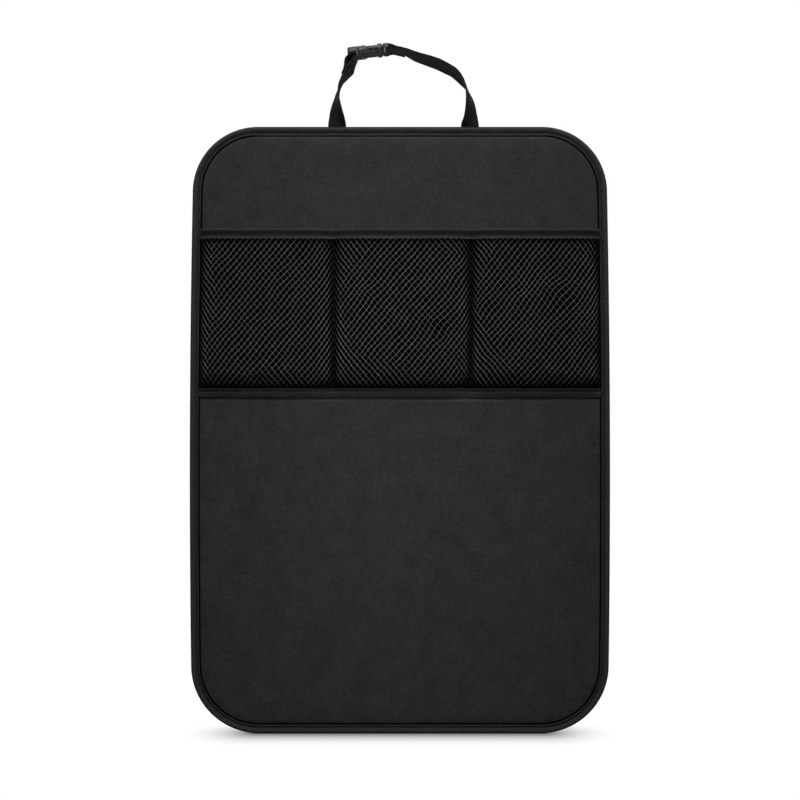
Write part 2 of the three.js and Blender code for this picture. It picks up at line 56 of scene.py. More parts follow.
def addCamera():
    data = bpy.data.cameras.new("productCamera")
    data.lens = camera["lens"]
    distance = camera["frameWidth"] * data.lens / data.sensor_width
    obj = bpy.data.objects.new("productCamera", data)
    obj.location = np.array([camera["x"], camera["planeY"] - distance, camera["z"]]) * mm
    obj.rotation_euler = (math.radians(90), 0, 0)
    bpy.context.scene.collection.objects.link(obj)
    bpy.context.scene.camera = obj


# each lamp in metres, watts and degrees: where it hangs, where it points, its size, power and spread
lamps = {
    "key": ((0, -1.0, 2.0), (0, 0, -0.03), (1.0, 0.5), 13.2, 90),
    "front": ((-0.06, -2.6, 0.45), (-0.015, 0, 0.03), (0.12, 0.6), 0.2, 13),
    "left": ((-1.3, -0.9, 0.35), (0, 0, 0.15), (0.3, 1.0), 1.5, 180),
    "right": ((1.3, -0.9, 0.35), (0, 0, 0.15), (0.3, 1.0), 1.65, 180),
    "low": ((0.05, -0.72, -0.33), (0, 0, 0.47), (0.8, 0.08), 0.6, 12),
    "back": ((0, 2.2, 0.1), (0, 0, 0), (0.8, 0.8), 2.4, 40),
}
# the floor's corners are in metres, and its other lengths in millimetres
# the contact shadow on the floor is painted: its dark colour, the half width of the mat's straight foot, the
# reach over which it fades, and the power of the fade
studio = {
    "worldFill": 0.045, "floorZ": -339.4, "floorColor": 0.2, "paintedShadowColor": 0.07, "paintedShadowHalf": 160,
    "paintedShadowReach": 90, "paintedShadowPower": 2.1, "floorLow": (-4, -3.5), "floorHigh": (4, 6),
}


def newNode(tree, kind, inputs=None, **settings):
    node = tree.nodes.new("ShaderNode" + kind)
    for key, value in settings.items():
        setattr(node, key, value)
    for key, value in (inputs or {}).items():
        if isinstance(value, bpy.types.NodeSocket):
            tree.links.new(value, node.inputs[key])
        else:
            node.inputs[key].default_value = value
    return node


def addLamps():
    for name, (place, target, size, power, spread) in lamps.items():
        light = bpy.data.lights.new(name + "Light", "AREA")
        light.shape = "RECTANGLE"
        light.size, light.size_y = size
        light.energy = power
        light.spread = math.radians(spread)
        lamp = bpy.data.objects.new(name + "Light", light)
        lamp.location = place
        aim = Vector(target) - lamp.location
        lamp.rotation_euler = aim.to_track_quat("-Z", "Y").to_euler()
        bpy.context.scene.collection.objects.link(lamp)


def addWorld():
    # white where the camera or a gloss sees it, and a plain grey fill for the object
    scene = bpy.context.scene
    world = scene.world or bpy.data.worlds.new("studioWorld")
    scene.world = world
    world.use_nodes = True
    tree = world.node_tree
    tree.nodes.clear()
    path = newNode(tree, "LightPath")
    seen = newNode(tree, "Math", {0: path.outputs["Is Camera Ray"], 1: path.outputs["Is Glossy Ray"]},
                   operation="MAXIMUM")
    seen = newNode(tree, "Math", {0: seen.outputs[0], 1: path.outputs["Is Transmission Ray"]},
                   operation="MAXIMUM")
    fill = newNode(tree, "Background", {"Color": (1, 1, 1, 1), "Strength": studio["worldFill"]})
    white = newNode(tree, "Background", {"Color": (1, 1, 1, 1), "Strength": 1.0})
    mix = newNode(tree, "MixShader", {0: seen.outputs[0], 1: fill.outputs[0], 2: white.outputs[0]})
    out = tree.nodes.new("ShaderNodeOutputWorld")
    tree.links.new(mix.outputs[0], out.inputs["Surface"])


def floorMaterial():
    # white in view, with a painted contact shadow close to the mat, which rests on it: a dark diffuse colour,
    # lit by the lamps, that fades into the white with distance from the mat's foot
    material = bpy.data.materials.new("floorWhitePaintedShadow")
    material.use_nodes = True
    tree = material.node_tree
    tree.nodes.clear()
    path = newNode(tree, "LightPath")
    place = newNode(tree, "SeparateXYZ", {0: newNode(tree, "TexCoord").outputs["Object"]})
    side = newNode(tree, "Math", {0: place.outputs["X"]}, operation="ABSOLUTE")
    side = newNode(tree, "Math", {0: side.outputs[0], 1: studio["paintedShadowHalf"] * mm}, operation="SUBTRACT")
    side = newNode(tree, "Math", {0: side.outputs[0], 1: 0.0}, operation="MAXIMUM")
    away = newNode(tree, "CombineXYZ", {"X": side.outputs[0], "Y": place.outputs["Y"]})
    away = newNode(tree, "VectorMath", {0: away.outputs[0]}, operation="LENGTH")
    # the share of painted shadow: full at the mat's foot, none at the reach
    paintedShadowShare = newNode(tree, "MapRange", {"Value": away.outputs["Value"], "To Min": 1.0, "To Max": 0.0,
                                      "From Max": studio["paintedShadowReach"] * mm})
    paintedShadowShare = newNode(tree, "Math", {0: paintedShadowShare.outputs[0], 1: studio["paintedShadowPower"]}, operation="POWER")
    paintedShadow = newNode(tree, "BsdfDiffuse", {"Color": [studio["paintedShadowColor"]] * 3 + [1]})
    white = newNode(tree, "Emission", {"Color": (1, 1, 1, 1), "Strength": 1.0})
    lit = newNode(tree, "MixShader", {0: paintedShadowShare.outputs[0], 1: white.outputs[0], 2: paintedShadow.outputs[0]})
    plain = newNode(tree, "BsdfDiffuse", {"Color": [studio["floorColor"]] * 3 + [1]})
    mix = newNode(tree, "MixShader", {0: path.outputs["Is Camera Ray"], 1: plain.outputs[0],
                                      2: lit.outputs[0]})
    out = tree.nodes.new("ShaderNodeOutputMaterial")
    tree.links.new(mix.outputs[0], out.inputs["Surface"])
    return material


def addFloor():
    low, high = studio["floorLow"], studio["floorHigh"]
    corners = [low, (high[0], low[1]), high, (low[0], high[1])]
    mesh = bpy.data.meshes.new("floor")
    mesh.from_pydata([(x, y, studio["floorZ"] * mm) for x, y in corners], [], [(0, 1, 2, 3)])
    mesh.materials.append(floorMaterial())
    floor = bpy.data.objects.new("floor", mesh)
    bpy.context.scene.collection.objects.link(floor)


bpy.context.scene.view_settings.view_transform = "Standard"
addCamera()
addLamps()
addWorld()
addFloor()
print("camera, light and floor made")


# materials

# most of a noise texture's values lie between these two
noiseLow, noiseHigh = 0.3, 0.7
# the length in metres of one band of a wave texture at scale 1
bandLength = 0.314159
# each surface: how far its colour varies, the noises that vary it (scale and weight), its bump's strength
# and depth in metres, and the scale and detail of its finest noise, which "fuzz" mixes into a weave
grain = {
    "face": {"spread": 0.47, "noises": ((55.0, 0.25), (260.0, 0.35), (900.0, 0.40)),
             "bump": 0.5, "depth": 0.00012, "fine": 1400.0, "detail": 2.0, "fuzz": 0.35},
    "plain": {"spread": 0.12, "noises": ((90.0, 0.5), (500.0, 0.5)),
              "bump": 0.6, "depth": 0.00012, "fine": 1400.0, "detail": 2.0, "fuzz": 0.35},
    "tape": {"spread": 0.22, "noises": ((160.0, 0.5), (900.0, 0.5)),
             "bump": 0.8, "depth": 0.00018, "fine": 1400.0, "detail": 2.0, "fuzz": 0.3},
    "thread": {"spread": 0.25, "noises": ((120.0, 0.5), (1500.0, 0.5)),
               "bump": 0.6, "depth": 0.0001, "fine": 3500.0, "detail": 2.0},
    "plastic": {"spread": 0.10, "noises": ((200.0, 0.5), (1500.0, 0.5)),
                "bump": 0.35, "depth": 0.00006, "fine": 4500.0, "detail": 3.0},
}
grain["webbing"] = {**grain["tape"], "spread": 0.4}


def newMaterial(name, color, roughness, sheen, specular):
    material = bpy.data.materials.new(name)
    material.use_nodes = True
    tree = material.node_tree
    shader = tree.nodes["Principled BSDF"]
    shader.inputs["Base Color"].default_value = (*color, 1)
    shader.inputs["Roughness"].default_value = roughness
    shader.inputs["Specular IOR Level"].default_value = specular
    shader.inputs["Sheen Weight"].default_value = sheen
    shader.inputs["Sheen Roughness"].default_value = 0.5
    return material, tree, shader


def mottle(tree, shader, color, kind, vector):
    # light and dark patches of the same colour, from noises of several sizes
    total = None
    for scale, weight in grain[kind]["noises"]:
        noise = newNode(tree, "TexNoise", {"Vector": vector, "Scale": scale, "Detail": 3.0})
        part = newNode(tree, "Math", {0: noise.outputs["Fac"], 1: weight}, operation="MULTIPLY")
        total = part if total is None else newNode(
            tree, "Math", {0: total.outputs[0], 1: part.outputs[0]}, operation="ADD")
    spread = grain[kind]["spread"]
    share = newNode(tree, "MapRange", {"Value": total.outputs[0], "From Min": noiseLow,
                                       "From Max": noiseHigh, "To Min": 1 - spread, "To Max": 1 + spread})
    return tinted(tree, shader, color, share.outputs[0])


def tinted(tree, shader, color, share):
    # the colour times a share, which becomes the shader's colour
    tint = newNode(tree, "VectorMath", {0: color, 1: share}, operation="MULTIPLY")
    tree.links.new(tint.outputs[0], shader.inputs["Base Color"])
    return tint.outputs[0]


def wave(tree, vector, direction, pitch):
    # one family of threads: pitch in metres
    return newNode(tree, "TexWave", {"Vector": vector, "Scale": bandLength / pitch, "Detail": 0.0},
                   wave_type="BANDS", bands_direction=direction).outputs["Fac"]


def fineNoise(tree, vector, kind):
    return newNode(tree, "TexNoise", {"Vector": vector, "Scale": grain[kind]["fine"],
                                      "Detail": grain[kind]["detail"]}).outputs["Fac"]


def addBump(tree, shader, kind, height):
    bump = newNode(tree, "Bump", {"Strength": grain[kind]["bump"], "Distance": grain[kind]["depth"],
                                  "Height": height})
    tree.links.new(bump.outputs[0], shader.inputs["Normal"])


def addWeave(tree, shader, vector, kind, pitch, directions):
    # two crossed families of threads, with a little fuzz
    first, second = [wave(tree, vector, direction, pitch) for direction in directions]
    crossed = newNode(tree, "Math", {0: first, 1: second}, operation="MULTIPLY")
    height = newNode(tree, "Mix", {"Factor": grain[kind]["fuzz"], "A": crossed.outputs[0],
                                   "B": fineNoise(tree, vector, kind)}, data_type="FLOAT")
    addBump(tree, shader, kind, height.outputs[0])


def objectCoords(tree):
    return newNode(tree, "TexCoord").outputs["Object"]


def clothMaterial(name, color, roughness, pitch, kind="plain", specular=0.03):
    # matte cloth with a fine weave
    material, tree, shader = newMaterial(name, color, roughness, 0.0, specular)
    vector = objectCoords(tree)
    mottle(tree, shader, color, kind, vector)
    addWeave(tree, shader, vector, kind, pitch, ("X", "Z"))
    return material


def tapeMaterial(name, color, roughness, paintedLightAcross=None, sheen=0.0, specular=0.08, kind="tape"):
    # woven tape: fine ribs along it, from its own u (along) and v (across), both in metres
    # the list across the tape: pairs of v, here in millimetres, and the share of the colour there, which
    # paints highlights and shade onto the tape
    material, tree, shader = newMaterial(name, color, roughness, sheen, specular)
    vector = newNode(tree, "TexCoord").outputs["UV"]
    tint = mottle(tree, shader, color, kind, vector)
    # painted light and shade across the tape
    if paintedLightAcross:
        v = newNode(tree, "SeparateXYZ", {0: vector}).outputs["Y"]
        total = None
        for (v0, s0), (v1, s1) in zip(paintedLightAcross[:-1], paintedLightAcross[1:]):
            # each step adds its own change between its two places
            step = newNode(tree, "MapRange", {"Value": v, "From Min": v0 * mm, "From Max": v1 * mm,
                                              "To Min": s0 if total is None else 0.0,
                                              "To Max": s1 if total is None else s1 - s0},
                           interpolation_type="SMOOTHSTEP")
            total = step if total is None else newNode(
                tree, "Math", {0: total.outputs[0], 1: step.outputs[0]}, operation="ADD")
        tinted(tree, shader, tint, total.outputs[0])
    addWeave(tree, shader, vector, kind, tapePitch, ("X", "Y"))
    return material


def threadMaterial(name, color, roughness, specular=0.06, deep=None):
    # deep: the y in metres where painted shade makes a thread darkest, and where it has its full colour
    material, tree, shader = newMaterial(name, color, roughness, 0.0, specular)
    vector = objectCoords(tree)
    tint = mottle(tree, shader, color, "thread", vector)
    # painted shade, deeper towards the cloth
    if deep:
        y = newNode(tree, "SeparateXYZ", {0: vector}).outputs["Y"]
        share = newNode(tree, "MapRange", {"Value": y, "From Min": deep[0], "From Max": deep[1],
                                           "To Min": deepestShadeShare, "To Max": 1.0},
                        interpolation_type="SMOOTHSTEP")
        tinted(tree, shader, tint, share.outputs[0])
    addBump(tree, shader, "thread", fineNoise(tree, vector, "thread"))
    return material


plastic = {"color": (0.021, 0.021, 0.0222), "roughness": 0.38, "smoothest": 0.32, "roughest": 0.46}


def plasticMaterial():
    # satin moulded plastic with a fine spark texture
    color = plastic["color"]
    material, tree, shader = newMaterial("bucklePlastic", color, plastic["roughness"], 0.0, 0.25)
    vector = objectCoords(tree)
    mottle(tree, shader, color, "plastic", vector)
    noise = fineNoise(tree, vector, "plastic")
    rough = newNode(tree, "MapRange", {"Value": noise, "From Min": noiseLow, "From Max": noiseHigh,
                                       "To Min": plastic["smoothest"], "To Max": plastic["roughest"]})
    tree.links.new(rough.outputs[0], shader.inputs["Roughness"])
    addBump(tree, shader, "plastic", noise)
    return material


faceColor = (0.0300, 0.0300, 0.0318)
# near-black painted shade, laid on the face cloth behind the net and in the groove beside the binding, where
# the cloth lies in shade
liningColor = (0.0005, 0.0005, 0.0005)
tapePitch = 0.0007
# millimetres across the tape, and the share of its colour there: painted highlights on the crests and painted
# shade in the grooves and folds
bindingPaintedLight = [(2.4, 1.0), (3.6, 0.94), (4.6, 0.86), (6.2, 0.90), (7.8, 1.2), (9.6, 1.5), (10.9, 0.25)]
hemPaintedLight = [(4.3, 1.0), (5.3, 0.8), (6.5, 0.6), (7.8, 0.48), (9.4, 0.6), (12.0, 0.64), (13.2, 1.0)]
# the net's threads carry painted shade: darkest at the first y, close to the cloth, and full at the second,
# in metres
netShadeDepths = (-0.0095, -0.0175)
deepestShadeShare = 0.08

materials = {
    "face": clothMaterial("faceClothWeave", faceColor, 0.9, 0.00052, "face"),
    "back": clothMaterial("backLining", (0.020, 0.020, 0.021), 0.9, 0.0006),
    "lining": clothMaterial("paintedShadeBlack", liningColor, 1.0, 0.0006, specular=0.0),
    "foam": clothMaterial("foamSheet", (0.10, 0.10, 0.11), 0.95, 0.0011),
    "binding": tapeMaterial("bindingTape", (0.0240, 0.0240, 0.0252), 0.74, bindingPaintedLight),
    "hem": tapeMaterial("pocketHemCloth", (0.0210, 0.0210, 0.0220), 0.74, hemPaintedLight),
    "tape": tapeMaterial("pocketTapeCloth", (0.0195, 0.0195, 0.0204), 0.74),
    # one yarn in two colours: the threads in front are painted lighter as if lit, those behind darker as if
    # shaded
    "netLitThreads": threadMaterial("netThreadOverLit", (0.104, 0.104, 0.107), 0.5, deep=netShadeDepths),
    "netShadedThreads": threadMaterial("netThreadUnderShaded", (0.048, 0.048, 0.050), 0.55, deep=netShadeDepths),
    "rimStitch": threadMaterial("rimThread", (0.007, 0.007, 0.0075), 0.7, 0.02),
    "stitch": threadMaterial("sewingThread", (0.018, 0.018, 0.019), 0.6),
    "webbing": tapeMaterial("strapWebbing", (0.0095, 0.0095, 0.0100), 0.8, None, 0.04, 0.03, "webbing"),
    "plastic": plasticMaterial(),
}
print("materials made:", len(materials))


# making meshes

def makeObject(name, points, faces, material, uv=None, faceMaterial=None):
    # points in millimetres; uv holds one pair in metres for each point
    mesh = bpy.data.meshes.new(name)
    mesh.from_pydata((np.asarray(points, float) * mm).tolist(), [], [tuple(int(i) for i in f) for f in faces])
    for each in material if isinstance(material, list) else [material]:
        mesh.materials.append(each)
    if uv is not None:
        layer = mesh.uv_layers.new(name="UVMap")
        index = np.zeros(len(mesh.loops), np.int32)
        mesh.loops.foreach_get("vertex_index", index)
        layer.data.foreach_set("uv", (np.asarray(uv, float)[index] * mm).ravel())
    if faceMaterial is not None:
        mesh.polygons.foreach_set("material_index", np.asarray(faceMaterial, np.int32))
    mesh.polygons.foreach_set("use_smooth", [True] * len(mesh.polygons))
    mesh.validate()
    mesh.update()
    obj = bpy.data.objects.new(name, mesh)
    bpy.context.scene.collection.objects.link(obj)
    return obj


def tubeFaces(ringCount, size, start=0, closed=False, caps=True):
    # quads between rings of the same size, the rings one after another from a starting index
    faces = []
    for r in range(ringCount if closed else ringCount - 1):
        here, there = start + r * size, start + ((r + 1) % ringCount) * size
        for i in range(size):
            j = (i + 1) % size
            faces.append((here + i, here + j, there + j, there + i))
    if caps and not closed:
        faces.append(tuple(start + i for i in range(size))[::-1])
        faces.append(tuple(start + (ringCount - 1) * size + i for i in range(size)))
    return faces


def flatPattern(blocks):
    # blocks of rows of points (x, z) become one flat mesh, joined where their points meet
    known, points, quads = {}, [], []

    def number(p):
        key = (round(p[0], 3), round(p[1], 3))
        if key not in known:
            known[key] = len(points)
            points.append((p[0], p[1]))
        return known[key]

    for rows in blocks:
        index = [[number(p) for p in row] for row in rows]
        for below, above in zip(index[:-1], index[1:]):
            for i in range(len(below) - 1):
                quad = []
                for k in (below[i], below[i + 1], above[i + 1], above[i]):
                    if k not in quad:
                        quad.append(k)
                if len(quad) > 2:
                    area = sum(points[a][0] * points[b][1] - points[b][0] * points[a][1]
                               for a, b in zip(quad, quad[1:] + quad[:1]))
                    quads.append(tuple(quad if area > 0 else quad[::-1]))
    return np.array(points), quads


def slab(name, pattern, front, rear, material):
    # a closed sheet between a front and a rear level
    points, quads = pattern
    count = len(points)
    x, z = points[:, 0], points[:, 1]
    vertices = np.concatenate([np.stack([x, front, z], 1), np.stack([x, rear, z], 1)])
    used = {}
    for quad in quads:
        for a, b in zip(quad, quad[1:] + quad[:1]):
            used[(a, b)] = True
    faces = list(quads) + [tuple(i + count for i in quad[::-1]) for quad in quads]
    faces += [(b, a, a + count, b + count) for a, b in used if (b, a) not in used]
    return makeObject(name, vertices, faces, material)


def smooth(t):
    t = np.clip(t, 0, 1)
    return t * t * (3 - 2 * t)


def ripple(x, z, size, seed):
    # soft waves that don't repeat over the mat, about -1 to 1
    waveCount, height = 7, 3.2
    rng = np.random.default_rng(seed)
    total = 0
    for _ in range(waveCount):
        angle, phase = rng.uniform(0, 2 * math.pi, 2)
        length = size * rng.uniform(0.6, 1.7)
        total = total + np.sin(2 * math.pi * (x * math.cos(angle) + z * math.sin(angle)) / length + phase)
    return total / height


def ripples(x, z, kinds, index=0):
    # several ripples added up: height, size and seed of each
    return sum(height * ripple(x, z, size, seed + index) for height, size, seed in kinds)


# the mat's outline

outline = {
    "width": 470, "height": 678, "widestZ": -50, "topNarrowing": 5, "bottomNarrowing": 2.7,
    "topCorner": 73, "bottomCorner": 76,
}
topZ = outline["height"] / 2


def halfWidth(z):
    z = np.asarray(z, float)
    above = z > outline["widestZ"]
    share = np.where(above, (z - outline["widestZ"]) / (topZ - outline["widestZ"]),
                     (outline["widestZ"] - z) / (outline["widestZ"] + topZ))
    narrowing = np.where(above, outline["topNarrowing"], outline["bottomNarrowing"])
    return outline["width"] / 2 - narrowing * share * share


def cornerAt(atTop):
    radius = outline["topCorner"] if atTop else outline["bottomCorner"]
    z = topZ - radius if atTop else radius - topZ
    return float(halfWidth(z)) - radius, z, radius


def fromEdge(x, z):
    # how far points of the mat lie from its edge
    x, z = np.abs(x), np.asarray(z, float)
    away = np.minimum(np.minimum(halfWidth(z) - x, topZ - z), z + topZ)
    for atTop in (True, False):
        cx, cz, radius = cornerAt(atTop)
        inCorner = (x > cx) & ((z > cz) if atTop else (z < cz))
        away = np.where(inCorner, radius - np.hypot(x - cx, z - cz), away)
    return away


def rightSide(inset, arcSteps, heights):
    # the right half of the outline going up, at an inset from the edge
    points = []
    for atTop in (False, True):
        cx, cz, radius = cornerAt(atTop)
        start = 0 if atTop else -90
        if atTop:
            points += [(float(halfWidth(z)) - inset, z) for z in heights]
        for i in range(arcSteps + 1):
            a = math.radians(start + 90 * i / arcSteps)
            points.append((cx + (radius - inset) * math.cos(a), cz + (radius - inset) * math.sin(a)))
    return points


def rim(step):
    # the closed outline: places, outward directions and the length so far
    places, outward = [], []

    def add(x, z, nx, nz):
        places.append((x, z))
        outward.append((nx, nz))

    bottom, top = cornerAt(False), cornerAt(True)
    across = np.arange(-bottom[0], bottom[0], step)
    for x in across:
        add(x, -topZ, 0, -1)
    half = []
    for (cx, cz, radius), start in ((bottom, -90), (top, 0)):
        count = round(math.pi / 2 * radius / step)
        for i in range(count + 1):
            a = math.radians(start + 90 * i / count)
            half.append((cx + radius * math.cos(a), cz + radius * math.sin(a), math.cos(a), math.sin(a)))
        if start == -90:
            count = round((top[1] - bottom[1]) / step)
            for i in range(1, count):
                z = bottom[1] + (top[1] - bottom[1]) * i / count
                half.append((float(halfWidth(z)), z, 1, 0))
    for p in half:
        add(*p)
    for x in np.arange(top[0], -top[0], -step)[1:]:
        add(x, topZ, 0, 1)
    for x, z, nx, nz in half[::-1]:
        add(-x, z, -nx, nz)
    places, outward = np.array(places[:-1]), np.array(outward[:-1])
    gaps = np.linalg.norm(np.roll(places, -1, 0) - places, axis=1)
    return places, outward, np.concatenate([[0], np.cumsum(gaps)[:-1]]), gaps.sum()


# the cloths and the padding

levels = {
    "clothThickness": 0.8, "faceRim": -4.3, "faceMiddle": -7.2, "backRim": -1.4, "backMiddle": 0.0,
    "puffInset": 10.7, "rollWidth": 2.2, "rollShare": 0.6, "puffWidth": 14.0, "tapeTop": 46.5,
    "tapeBottom": 36.2, "valleyReach": 5.5, "valleyLevel": 0.2, "backWrinkle": 0.09,
}
# the wrinkles of the cloths: height, size and seed
faceRipples = [(0.10, 110, 3), (0.035, 34, 4)]
backRipples = [(0.09, 120, 8)]


def swell(away):
    # the cloth rolls out of the seam at once, and then swells slowly over the padding
    t = [np.clip((away - levels["puffInset"]) / levels[key], 0, 1) for key in ("rollWidth", "puffWidth")]
    roll, puff = np.sin(t[0] * math.pi / 2), np.sin(t[1] * math.pi / 2)
    return levels["rollShare"] * roll + (1 - levels["rollShare"]) * puff


def valley(z):
    away = np.maximum(np.maximum(z - levels["tapeTop"], levels["tapeBottom"] - z), 0)
    t = np.clip(away / levels["valleyReach"], 0, 1)
    return levels["valleyLevel"] + (1 - levels["valleyLevel"]) * np.sin(t * math.pi / 2)


def faceLevel(x, z):
    puff = np.minimum(swell(fromEdge(x, z)), valley(z))
    wrinkle = ripples(x, z, faceRipples)
    return levels["faceRim"] + (levels["faceMiddle"] - levels["faceRim"]) * puff - wrinkle * puff


def backLevel(x, z):
    puff = swell(fromEdge(x, z))
    wrinkle = levels["backWrinkle"] + ripples(x, z, backRipples)
    return levels["backRim"] + (levels["backMiddle"] - levels["backRim"]) * puff - wrinkle * puff


# each cloth's mesh: the insets of its rings from the edge, steps across, and which of the rows it takes
# the face cloth is painted near black as shade between two heights behind the net, and within a rim this far
# past the seam beside the binding
faceMesh = {"insets": [5, 9, 10.7, 11.2, 11.8, 12.4, 12.9, 15, 17.5, 20.5, 24.7, 30, 38],
            "across": 56, "every": 1, "liningLow": 41, "liningHigh": 218, "liningRim": 0.4}
backMesh = {"insets": [5, 9, 10.7, 12.2, 15, 19.7, 26], "across": 30, "every": 2}
padMesh = {"insets": [14.2, 15.2, 17.3, 24], "across": 20, "every": 3, "gap": 0.2}
# rows up the mat: even steps, and finer ones below, over and above the valley of the pockets' tape
sideRows = {"step": 7.0, "lowGap": 7, "highGap": 3, "fineLow": 26, "fineHigh": 56, "below": (27, 35.5, 1.0),
            "over": [35.5, 39, 43, 46.5], "above": (47.5, 56, 1.5), "cornerSteps": 22}


def sideHeights():
    low, high = cornerAt(False)[1], cornerAt(True)[1]
    even = np.arange(low + sideRows["lowGap"], high - sideRows["highGap"], sideRows["step"])
    even = [z for z in even if not sideRows["fineLow"] < z < sideRows["fineHigh"]]
    fine = [*np.arange(*sideRows["below"]), *sideRows["over"], *np.arange(*sideRows["above"])]
    return sorted(even + fine)


def matPattern(shape):
    heights, steps = sideHeights()[::shape["every"]], shape["across"]

    def level(start, end):
        # the points of a level line between two places, without its ends
        return [(start[0] + (end[0] - start[0]) * k / steps, start[1]) for k in range(1, steps)]

    sides = [rightSide(inset, sideRows["cornerSteps"], heights) for inset in shape["insets"]]
    loops = []
    for right in sides:
        left = [(-x, z) for x, z in right[::-1]]
        loops.append(right + level(right[-1], left[0]) + left + level(left[-1], right[0]) + [right[0]])
    inner = [[(-x + 2 * x * k / steps, z) for k in range(steps + 1)] for x, z in sides[-1]]
    return flatPattern([loops, inner])


def addFaceCloth():
    pattern = matPattern(faceMesh)
    front = faceLevel(*pattern[0].T)
    face = slab("faceCloth", pattern, front, front + levels["clothThickness"],
                [materials["face"], materials["lining"]])
    # painted shade: the faces behind the net and those in the groove next to the binding take the near-black
    # material
    for polygon in face.data.polygons:
        at = polygon.center / mm
        behindNet = faceMesh["liningLow"] < at.z < faceMesh["liningHigh"]
        if behindNet or fromEdge(at.x, at.z) < levels["puffInset"] + faceMesh["liningRim"]:
            polygon.material_index = 1
    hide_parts("face_cloth")
    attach(face, "mat")


def addBackCloth():
    pattern = matPattern(backMesh)
    rear = backLevel(*pattern[0].T)
    back = slab("backCloth", pattern, rear - levels["clothThickness"], rear, materials["back"])
    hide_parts("back_cloth")
    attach(back, "mat")


def addPadding():
    pattern = matPattern(padMesh)
    front = faceLevel(*pattern[0].T) + levels["clothThickness"] + padMesh["gap"]
    rear = backLevel(*pattern[0].T) - levels["clothThickness"] - padMesh["gap"]
    padding = slab("padding", pattern, front, rear, materials["foam"])
    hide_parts("foam_pad")
    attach(padding, "mat")


addFaceCloth()
addBackCloth()
addPadding()
print("cloths and padding made")


# stitches

stitch = {"pitch": 5.0, "length": 3.1, "width": 1.0, "rise": 0.28, "flatness": 0.75, "sides": 5,
          "look": 0.2}
# how each thread dips in at both ends: share of its length, of its radius and of its rise
stitchShape = [(-0.5, 0.35, -1.0), (-0.36, 0.85, 0.2), (0.0, 1.0, 1.0), (0.36, 0.85, 0.2), (0.5, 0.35, -1.0)]


def stitchBodies(path, normal, closed=False, pitch=None, length=None, width=None):
    # short rounded threads in a row along a path of places, each lying on its surface
    pitch, length = pitch or stitch["pitch"], length or stitch["length"]
    radius = (width or stitch["width"]) / 2
    path, normal = np.asarray(path, float), np.asarray(normal, float)
    if closed:
        path, normal = np.vstack([path, path[:1]]), np.vstack([normal, normal[:1]])
    along = np.concatenate([[0], np.cumsum(np.linalg.norm(np.diff(path, axis=0), axis=1))])
    count = max(1, int(along[-1] / pitch))
    real = along[-1] / count

    def pick(values, s):
        return np.array([np.interp(s, along, values[:, k]) for k in range(3)])

    points, faces = [], []
    for i in range(count):
        middle = (i + 0.5) * real
        start = len(points)
        for share, thick, lift in stitchShape:
            s = middle + share * length * real / pitch
            centre, out = pick(path, s), pick(normal, s)
            out = out / np.linalg.norm(out)
            ahead = pick(path, s + stitch["look"]) - pick(path, s - stitch["look"])
            side = np.cross(ahead / np.linalg.norm(ahead), out)
            for k in range(stitch["sides"]):
                a = 2 * math.pi * k / stitch["sides"]
                r = radius * thick
                rise = lift * stitch["rise"] + r * stitch["flatness"] * math.cos(a)
                points.append(centre + out * rise + side * r * math.sin(a))
        faces += tubeFaces(len(stitchShape), stitch["sides"], start)
    return np.array(points), faces


def addStitches(name, rows, material):
    points, faces = [], []
    for row, rowFaces in rows:
        start = sum(len(p) for p in points)
        points.append(row)
        faces += [tuple(i + start for i in face) for face in rowFaces]
    piece = makeObject(name, np.concatenate(points), faces, material)
    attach(piece, "mat")


# edge binding

binding = {"step": 1.25, "stitchInset": 7.3, "stitchY": (-5.05, -0.42), "strapSlot": 10.3, "slotEase": 1.2,
           "wander": 0.12, "edgeWander": 0.16, "pull": 0.3, "pullReach": 1.6, "pullElsewhere": 0.35,
           "outermost": 0.5, "innermost": 9.3, "frontLevel": -4.9, "topExtra": 0.6, "extraFrom": 7}
# how the tape wanders along its length: waves round the rim, and where each starts
bindingWaves = [(23, 0.4), (41, 1.9), (67, 3.1), (97, 5.0)]
strapsAt = (-70.2, 78.3)
# the section from the front inner edge over the fold to the back: inset, y, and where the fold opens
# for a strap, inset and y there
bindingSection = [
    (9.50, -4.50, 0, 0), (9.70, -5.00, 0, 0), (9.62, -5.55, 0, 0), (9.20, -5.95, 0, -0.1),
    (8.65, -6.02, 0, -0.15), (8.10, -5.70, 0, -0.25), (7.35, -4.95, 0, -0.3), (6.75, -5.20, 0, -0.35),
    (6.00, -5.62, 0, -0.4), (5.00, -6.05, 0, -0.42), (3.90, -6.42, 0, -0.45), (2.90, -6.58, 0, -0.5),
    (2.05, -6.42, 0, -0.5), (1.25, -5.90, 0, -0.45), (0.60, -5.10, 0.00, -0.5), (0.15, -4.25, 0.10, -0.95),
    (0.02, -3.60, 1.60, -1.30),
    (0.02, -2.90, 1.60, -0.55), (0.15, -2.10, 0.05, -1.30), (0.60, -1.20, 0.00, -0.55),
    (1.50, -0.55, 0, 0), (2.80, -0.22, 0, 0), (4.40, -0.14, 0, 0), (6.20, -0.22, 0, 0),
    (7.30, -0.50, 0, 0), (8.60, -0.24, 0, 0), (10.60, -0.30, 0, 0), (11.25, -0.60, 0, 0),
    (11.20, -1.05, 0, 0), (6.0, -1.5, 0, 0), (2.2, -2.0, 0, 0), (2.2, -4.3, 0, 0), (6.0, -4.5, 0, 0),
]


